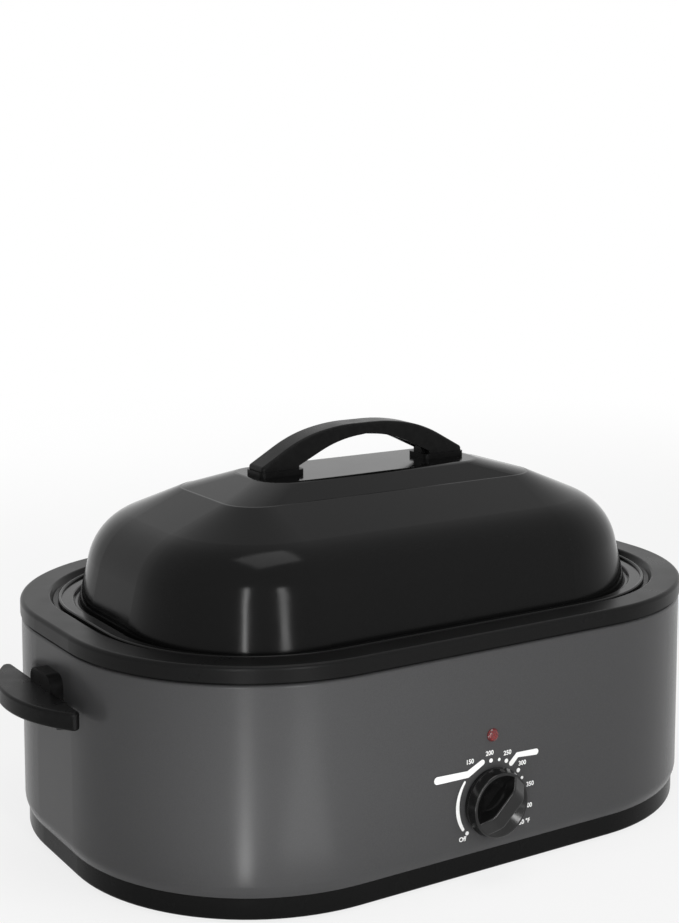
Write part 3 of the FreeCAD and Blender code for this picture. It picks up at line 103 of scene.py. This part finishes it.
class Finish:
    """A procedural material under construction: one Principled shader and its inputs."""

    def __init__(self, name, colour, roughness, metallic=0.0, specular=0.5):
        self.material = bpy.data.materials.new(name)
        self.material.use_nodes = True
        self.tree = self.material.node_tree
        self.shader = self.tree.nodes["Principled BSDF"]
        self.set("Base Color", (*colour, 1.0))
        self.set("Roughness", roughness)
        self.set("Metallic", metallic)
        self.set("Specular IOR Level", specular)
        self.colour = colour
        self.roughness = roughness
        self.place = self.node("ShaderNodeTexCoord").outputs["Object"]
        self.height = None

    def set(self, name, value):
        self.shader.inputs[name].default_value = value

    def node(self, kind, **settings):
        node = self.tree.nodes.new(kind)
        for name, value in settings.items():
            setattr(node, name, value)
        return node

    def link(self, output, socket):
        self.tree.links.new(output, socket)

    def stretched(self, x, y, z):
        """Coordinates with each axis scaled, for grain that runs one way."""
        mapping = self.node("ShaderNodeMapping")
        mapping.inputs["Scale"].default_value = (x, y, z)
        self.link(self.place, mapping.inputs["Vector"])
        return mapping.outputs["Vector"]

    def noise(self, scale, detail=3.0, rough=0.5, place=None):
        node = self.node("ShaderNodeTexNoise")
        node.inputs["Scale"].default_value = scale
        node.inputs["Detail"].default_value = detail
        node.inputs["Roughness"].default_value = rough
        self.link(place or self.place, node.inputs["Vector"])
        return node.outputs["Fac"]

    def cells(self, scale, feature="F1"):
        node = self.node("ShaderNodeTexVoronoi", feature=feature)
        node.inputs["Scale"].default_value = scale
        self.link(self.place, node.inputs["Vector"])
        return node.outputs["Distance"]

    def remap(self, value, low, high, to_low, to_high):
        node = self.node("ShaderNodeMapRange")
        for name, number in zip(
            ("From Min", "From Max", "To Min", "To Max"), (low, high, to_low, to_high)
        ):
            node.inputs[name].default_value = number
        self.link(value, node.inputs["Value"])
        return node.outputs["Result"]

    def vary_roughness(self, value, spread):
        """Let the roughness wander by spread about its own value."""
        result = self.remap(value, 0.3, 0.7, self.roughness - spread, self.roughness + spread)
        self.link(result, self.shader.inputs["Roughness"])

    def vary_colour(self, value, other, low=0.35, high=0.65):
        """Blend towards the other colour where value is high."""
        mix = self.node("ShaderNodeMix", data_type="RGBA")
        self.link(self.remap(value, low, high, 0.0, 1.0), mix.inputs["Factor"])
        mix.inputs[6].default_value = (*self.colour, 1.0)
        mix.inputs[7].default_value = (*other, 1.0)
        self.link(mix.outputs[2], self.shader.inputs["Base Color"])

    def bump(self, value, depth, strength=1.0):
        """Relief of the given depth in metres. Later calls add to earlier ones."""
        node = self.node("ShaderNodeBump")
        node.inputs["Strength"].default_value = strength
        node.inputs["Distance"].default_value = depth
        self.link(value, node.inputs["Height"])
        if self.height is not None:
            self.link(self.height, node.inputs["Normal"])
        self.height = node.outputs["Normal"]
        self.link(self.height, self.shader.inputs["Normal"])


def grey_paint():
    """Satin paint with a fine metallic fleck on the band."""
    finish = Finish("grey_paint", (0.047, 0.047, 0.048), 0.26, specular=0.13)
    fleck = finish.noise(2600, 2.0)
    finish.vary_colour(fleck, (0.058, 0.058, 0.059))
    finish.vary_roughness(finish.noise(45, 4.0), 0.01)
    finish.bump(finish.noise(900, 2.0), 0.010 * MM, 0.3)
    return finish.material


def black_paint():
    finish = Finish("black_paint", (0.005, 0.005, 0.005), 0.26, specular=0.05)
    finish.vary_colour(finish.noise(1800, 2.0), (0.007, 0.007, 0.007))
    finish.vary_roughness(finish.noise(60, 4.0), 0.04)
    finish.bump(finish.noise(1100, 3.0), 0.015 * MM, 0.4)
    return finish.material


def enamel(name, colour, other, roughness, specular):
    """Fired enamel: a deep gloss with a slight orange peel and fine specks."""
    finish = Finish(name, colour, roughness, specular=specular)
    finish.vary_colour(finish.cells(1500), other, 0.0, 0.5)
    finish.vary_roughness(finish.noise(30, 4.0), 0.03)
    finish.bump(finish.noise(260, 2.0), 0.02 * MM, 0.25)
    finish.bump(finish.noise(1500, 2.0), 0.006 * MM, 0.3)
    return finish.material


def lid_enamel():
    return enamel("lid_enamel", (0.002, 0.002, 0.002), (0.004, 0.004, 0.004), 0.14, 0.10)


def pan_enamel():
    return enamel("pan_enamel", (0.003, 0.003, 0.003), (0.006, 0.006, 0.006), 0.3, 0.08)


def well_enamel():
    return enamel("well_enamel", (0.005, 0.005, 0.005), (0.008, 0.008, 0.008), 0.4, 0.1)


def moulded(name, colour, other, roughness, specular, grain=1600, depth=0.03):
    """Moulded plastic with the fine texture of its tool."""
    finish = Finish(name, colour, roughness, specular=specular)
    finish.vary_colour(finish.noise(220, 4.0), other)
    finish.vary_roughness(finish.noise(90, 4.0), 0.04)
    finish.bump(finish.noise(grain, 3.0), depth * MM, 0.4)
    return finish.material


def black_plastic():
    return moulded("black_plastic", (0.004, 0.004, 0.004), (0.006, 0.006, 0.006), 0.3, 0.07)


def knob_plastic():
    return moulded("knob_plastic", (0.004, 0.004, 0.004), (0.005, 0.005, 0.005), 0.16, 0.35, 700, 0.006)


def foot_rubber():
    return moulded("foot_rubber", (0.014, 0.014, 0.014), (0.020, 0.020, 0.019), 0.75, 0.3)


def gland_plastic():
    return moulded("gland_plastic", (0.012, 0.012, 0.012), (0.016, 0.016, 0.016), 0.5, 0.35)


def moulded_block():
    return moulded("moulded_block", (0.42, 0.39, 0.31), (0.50, 0.46, 0.38), 0.55, 0.4)


def lead_sleeve():
    return moulded("lead_sleeve", (0.52, 0.50, 0.45), (0.60, 0.58, 0.52), 0.5, 0.4, 900, 0.05)


def red_lens():
    """A clear red dome whose inside is cut in small prisms."""
    finish = Finish("red_lens", (0.26, 0.004, 0.006), 0.14, specular=0.3)
    finish.vary_colour(finish.cells(900), (0.10, 0.001, 0.002), 0.1, 0.7)
    finish.bump(finish.cells(700), 0.05 * MM, 0.4)
    finish.set("Transmission Weight", 0.25)
    finish.set("Coat Weight", 0.6)
    finish.set("Coat Roughness", 0.04)
    return finish.material


def metal(name, colour, other, roughness, grain, depth, spread=0.05):
    """Bare metal whose grain is drawn by the noise scaled per axis."""
    finish = Finish(name, colour, roughness, metallic=1.0)
    lines = finish.noise(1.0, 3.0, 0.6, finish.stretched(*grain))
    finish.vary_colour(lines, other)
    finish.vary_roughness(finish.noise(70, 4.0), spread)
    finish.bump(lines, depth * MM, 0.3)
    return finish.material


def rack_chrome():
    colours = (0.60, 0.60, 0.61), (0.68, 0.68, 0.69)
    return metal("rack_chrome", *colours, 0.14, (400, 400, 400), 0.006, 0.04)


def bright_steel():
    return metal("bright_steel", (0.50, 0.51, 0.53), (0.62, 0.62, 0.63), 0.32, (700, 700, 90), 0.01)


def plated_sheet():
    return metal("plated_sheet", (0.48, 0.48, 0.49), (0.58, 0.58, 0.58), 0.38, (60, 900, 900), 0.01)


def rod_sheath():
    return metal("rod_sheath", (0.16, 0.14, 0.13), (0.24, 0.22, 0.21), 0.45, (300, 300, 300), 0.03)


def fuse_can():
    return metal("fuse_can", (0.66, 0.66, 0.67), (0.74, 0.74, 0.74), 0.28, (80, 900, 900), 0.01)


def glass_wool():
    """Matted glass fibre, with strands that run along the blanket."""
    finish = Finish("glass_wool", (0.66, 0.62, 0.50), 0.9, specular=0.2)
    strands = finish.noise(1.0, 6.0, 0.7, finish.stretched(260, 260, 900))
    finish.vary_colour(strands, (0.78, 0.75, 0.66))
    finish.bump(strands, 0.6 * MM, 0.8)
    return finish.material


def white_ink():
    finish = Finish("white_ink", (0.80, 0.80, 0.79), 0.5, specular=0.4)
    finish.vary_colour(finish.noise(1500, 2.0), (0.86, 0.86, 0.85))
    finish.bump(finish.noise(2400, 2.0), 0.01 * MM, 0.4)
    return finish.material


FINISHES = (
    grey_paint, black_paint, lid_enamel, pan_enamel, well_enamel, black_plastic,
    knob_plastic, foot_rubber, gland_plastic, moulded_block, lead_sleeve, red_lens,
    rack_chrome, bright_steel, plated_sheet, rod_sheath, fuse_can, glass_wool,
)


def dress_frame():
    made = {make.__name__: make() for make in FINISHES}
    for node, item in frame["nodes"].items():
        material = made[SLOT_OF[node]]
        for slot in item.material_slots:
            slot.material = material


# ---------------------------------------------------------------------------
# Dial print

def dial_centre():
    """The knob's axis, on the band's outer face at the front."""
    low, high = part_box("control_knob")
    return Vector(((low.x + high.x) / 2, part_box("outer_band")[0].y, (low.z + high.z) / 2))


def at_angle(angle, radius):
    """A point on the dial, clockwise from the top, in millimetres."""
    turn = math.radians(angle)
    return radius * math.sin(turn), radius * math.cos(turn)


def ink_mesh(name, outlines):
    """Flat ink on the band: each outline is a closed list of (x, z) in millimetres."""
    centre = dial_centre()
    vertices, polygons = [], []
    for outline in outlines:
        start, count = len(vertices), len(outline)
        for depth in (0.0, PRINT_THICK):
            vertices += [(centre.x + x * MM, centre.y - depth, centre.z + z * MM) for x, z in outline]
        near = [start + count + index for index in range(count)]
        far = [start + index for index in range(count)]
        polygons += [near, far[::-1]]
        for index in range(count):
            after = (index + 1) % count
            polygons.append([far[index], far[after], near[after], near[index]])
    mesh = bpy.data.meshes.new(name)
    mesh.from_pydata(vertices, [], polygons)
    item = bpy.data.objects.new(name, mesh)
    bpy.context.scene.collection.objects.link(item)
    return item


def disc(x, z, radius):
    turns = [2 * math.pi * step / DISC_STEPS for step in range(DISC_STEPS)]
    return [(x + radius * math.cos(turn), z + radius * math.sin(turn)) for turn in turns]


def add_ink(item, ink):
    item.data.materials.clear()
    item.data.materials.append(ink)
    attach(item, "base")


def ribbon(points, widths):
    """The outline of a bent band of ink with round ends."""
    path = [Vector(point) for point in points]
    left, right = [], []
    for index, point in enumerate(path):
        before = (point - path[index - 1]).normalized() if index else (path[1] - point).normalized()
        after = (path[index + 1] - point).normalized() if index + 1 < len(path) else before
        along = (before + after).normalized()
        across = Vector((-along.y, along.x)) / max(along.dot(before), 0.5)
        left.append(point + across * widths[index] / 2)
        right.append(point - across * widths[index] / 2)

    def cap(centre, start, end):
        """A half circle from start to end, round the outer side of centre."""
        arm = start - centre
        first = math.atan2(arm.y, arm.x)
        turns = [first - math.pi * step / CAP_STEPS for step in range(1, CAP_STEPS)]
        return [centre + Vector((math.cos(turn), math.sin(turn))) * arm.length for turn in turns]

    far_cap = cap(path[-1], left[-1], right[-1])
    near_cap = cap(path[0], right[0], left[0])
    outline = left + far_cap + right[::-1] + near_cap
    return [(point.x, point.y) for point in outline]


def arc_width(step):
    share = min(1.0, ARC_FIRST_SHARE + step / ARC_STEPS)
    return ARC_WIDTH + ARC_SWELL * math.sin(math.pi * share)


def make_print(ink):
    dots = [disc(*at_angle(angle, DOT_CIRCLE), radius) for angle, radius in DOTS]
    add_ink(ink_mesh("dial_dots", dots), ink)
    for name, (points, widths) in BARS.items():
        add_ink(ink_mesh(name, [ribbon(points, widths)]), ink)
    arc_points = [at_angle(angle, ARC_CIRCLE) for angle in ARC_ANGLES]
    arc_widths = [arc_width(step) for step in range(len(arc_points))]
    add_ink(ink_mesh("warm_up_arc", [ribbon(arc_points, arc_widths)]), ink)
    for word, angle, further in NUMBERS:
        add_ink(word_mesh(f"number_{word}", word, *at_angle(angle, NUMBER_CIRCLE + further)), ink)
    x, z = at_angle(LAST_ANGLE, NUMBER_CIRCLE)
    add_ink(word_mesh("number_450", "450 °F", x + UNIT_SHIFT, z), ink)
    add_ink(word_mesh("word_off", "Off", *at_angle(OFF_ANGLE, OFF_WORD_CIRCLE)), ink)


def word_mesh(name, word, x, z):
    """Printed characters centred on x, z of the dial."""
    curve = bpy.data.curves.new(name, "FONT")
    curve.body = word
    curve.size = NUMBER_HEIGHT / DIGIT_SHARE * MM
    curve.align_x = "CENTER"
    curve.align_y = "CENTER"
    curve.offset = NUMBER_SWELL * MM
    curve.extrude = PRINT_THICK / 2
    curve.resolution_u = 4
    letters = bpy.data.objects.new(name + "_curve", curve)
    bpy.context.scene.collection.objects.link(letters)
    bpy.context.view_layer.update()
    evaluated = letters.evaluated_get(bpy.context.evaluated_depsgraph_get())
    mesh = bpy.data.meshes.new_from_object(evaluated)
    bpy.data.objects.remove(letters)
    middle = dial_centre() + Vector((x * MM, -PRINT_THICK / 2, z * MM))
    for vertex in mesh.vertices:
        flat = vertex.co.copy()
        vertex.co = middle + Vector((flat.x * NUMBER_SQUEEZE, -flat.z, flat.y))
    item = bpy.data.objects.new(name, mesh)
    bpy.context.scene.collection.objects.link(item)
    return item


# ---------------------------------------------------------------------------
# Stage, light and camera

def view_only(tree, shown, other):
    """Mix two shaders: shown where the camera, a mirror or glass looks, other for light."""
    rays = tree.nodes.new("ShaderNodeLightPath")
    total = rays.outputs["Is Camera Ray"]
    for name in ("Is Glossy Ray", "Is Transmission Ray"):
        add = tree.nodes.new("ShaderNodeMath")
        add.operation = "MAXIMUM"
        tree.links.new(total, add.inputs[0])
        tree.links.new(rays.outputs[name], add.inputs[1])
        total = add.outputs[0]
    mix = tree.nodes.new("ShaderNodeMixShader")
    tree.links.new(total, mix.inputs[0])
    tree.links.new(other, mix.inputs[1])
    tree.links.new(shown, mix.inputs[2])
    return mix.outputs[0]


def make_world(ambient):
    world = bpy.data.worlds.new("studio")
    bpy.context.scene.world = world
    world.use_nodes = True
    tree = world.node_tree
    shown = tree.nodes["Background"]
    shown.inputs["Color"].default_value = (1, 1, 1, 1)
    shown.inputs["Strength"].default_value = 1.0
    other = tree.nodes.new("ShaderNodeBackground")
    other.inputs["Color"].default_value = (1, 1, 1, 1)
    other.inputs["Strength"].default_value = ambient
    result = view_only(tree, shown.outputs[0], other.outputs[0])
    tree.links.new(result, tree.nodes["World Output"].inputs["Surface"])


def make_floor(near, far, size, near_glow):
    """A pale floor that keeps the shadow near the object and turns white further out."""
    mesh = bpy.data.meshes.new("floor")
    half = size / 2
    corners = [(-half, -half, 0), (half, -half, 0), (half, half, 0), (-half, half, 0)]
    mesh.from_pydata(corners, [], [(0, 1, 2, 3)])
    floor = bpy.data.objects.new("floor", mesh)
    bpy.context.scene.collection.objects.link(floor)
    material = bpy.data.materials.new("pale_floor")
    material.use_nodes = True
    tree = material.node_tree
    paint = tree.nodes["Principled BSDF"]
    paint.inputs["Base Color"].default_value = (0.86, 0.86, 0.86, 1)
    paint.inputs["Roughness"].default_value = 0.7
    paint.inputs["Specular IOR Level"].default_value = 0.2
    glow = tree.nodes.new("ShaderNodeEmission")
    glow.inputs["Color"].default_value = (1, 1, 1, 1)
    glow.inputs["Strength"].default_value = 1.0
    place = tree.nodes.new("ShaderNodeTexCoord")
    distance = tree.nodes.new("ShaderNodeVectorMath")
    distance.operation = "LENGTH"
    fade = tree.nodes.new("ShaderNodeMapRange")
    fade.interpolation_type = "SMOOTHSTEP"
    fade.inputs["From Min"].default_value = near
    fade.inputs["From Max"].default_value = far
    fade.inputs["To Min"].default_value = near_glow
    mix = tree.nodes.new("ShaderNodeMixShader")
    tree.links.new(place.outputs["Object"], distance.inputs[0])
    tree.links.new(distance.outputs["Value"], fade.inputs["Value"])
    tree.links.new(fade.outputs["Result"], mix.inputs[0])
    tree.links.new(paint.outputs[0], mix.inputs[1])
    tree.links.new(glow.outputs[0], mix.inputs[2])
    result = view_only(tree, mix.outputs[0], paint.outputs[0])
    tree.links.new(result, tree.nodes["Material Output"].inputs["Surface"])
    mesh.materials.append(material)


# name: azimuth and elevation in degrees, distance, width and height in metres, brightness,
# and whether glossy surfaces mirror it
SOFTBOXES = {
    "front_box": (28, 22, 2.4, 1.4, 1.2, 3.5, False),
    "corner_strip": (-40, 12, 1.8, 0.07, 1.5, 34.0, True),
    "wide_strip": (-10, 12, 1.9, 0.18, 1.5, 15.0, True),
    "top_box": (10, 82, 2.2, 1.2, 0.9, 3.0, True),
    "rear_box": (172, 24, 2.4, 1.6, 1.2, 3.5, False),
}
LIGHT_AIM = Vector((0, 0, 0.12))

# Low strips that the upright walls mirror. name: start and end on the floor, width, brightness
FLOOR_STRIPS = {
    "narrow_glow": ((-0.235, -0.217), (-0.495, -0.586), 0.018, 23.0),
    "wide_glow": ((-0.160, -0.270), (-0.170, -0.640), 0.100, 3.2),
}
STRIP_RISE = 2 * MM


def from_polar(azimuth, elevation, distance):
    """A point round the origin; azimuth 0 is in front (-Y) and 90 is on the +X side."""
    turn, rise = math.radians(azimuth), math.radians(elevation)
    flat = distance * math.cos(rise)
    return Vector((flat * math.sin(turn), -flat * math.cos(turn), distance * math.sin(rise)))


def panel(name, location, turn, width, height, brightness, mirrored=True):
    """A rectangular lamp that the camera doesn't see, and glossy surfaces only if mirrored."""
    lamp = bpy.data.lights.new(name, "AREA")
    lamp.shape = "RECTANGLE"
    lamp.size = width
    lamp.size_y = height
    lamp.energy = brightness * math.pi * width * height
    item = bpy.data.objects.new(name, lamp)
    item.location = location
    item.rotation_euler = turn
    item.visible_camera = False
    item.visible_glossy = mirrored
    bpy.context.scene.collection.objects.link(item)


def make_lights():
    for name, (azimuth, elevation, distance, *lamp) in SOFTBOXES.items():
        arm = from_polar(azimuth, elevation, distance)
        turn = (-arm).to_track_quat("-Z", "Y").to_euler()
        panel(name, LIGHT_AIM + arm, turn, *lamp)
    for name, (start, end, width, brightness) in FLOOR_STRIPS.items():
        start, end = Vector((*start, STRIP_RISE)), Vector((*end, STRIP_RISE))
        along = math.atan2(end.y - start.y, end.x - start.x)
        face_up = (math.pi, 0, along - math.pi / 2)
        panel(name, (start + end) / 2, face_up, width, (end - start).length, brightness)


def make_camera():
    data = bpy.data.cameras.new("camera")
    data.sensor_width = SENSOR
    data.lens = FOCAL_PIXELS * SENSOR / FRAME_HEIGHT
    data.shift_y = (HORIZON_ROW - FRAME_HEIGHT / 2) / FRAME_HEIGHT
    camera = bpy.data.objects.new("camera", data)
    x = math.sin(CAMERA_AZIMUTH) * CAMERA_DISTANCE
    y = -math.cos(CAMERA_AZIMUTH) * CAMERA_DISTANCE
    camera.location = (x, y, CAMERA_HEIGHT)
    camera.rotation_euler = (math.pi / 2 - CAMERA_PITCH, 0, CAMERA_AZIMUTH + CAMERA_TURN)
    bpy.context.scene.collection.objects.link(camera)
    bpy.context.scene.camera = camera


# ---------------------------------------------------------------------------
# Build

make_camera()
dress_frame()
make_print(white_ink())
make_world(ambient=0.14)
make_floor(near=0.9, far=2.4, size=60, near_glow=0.8)
make_lights()
bpy.context.scene.view_settings.view_transform = "Standard"
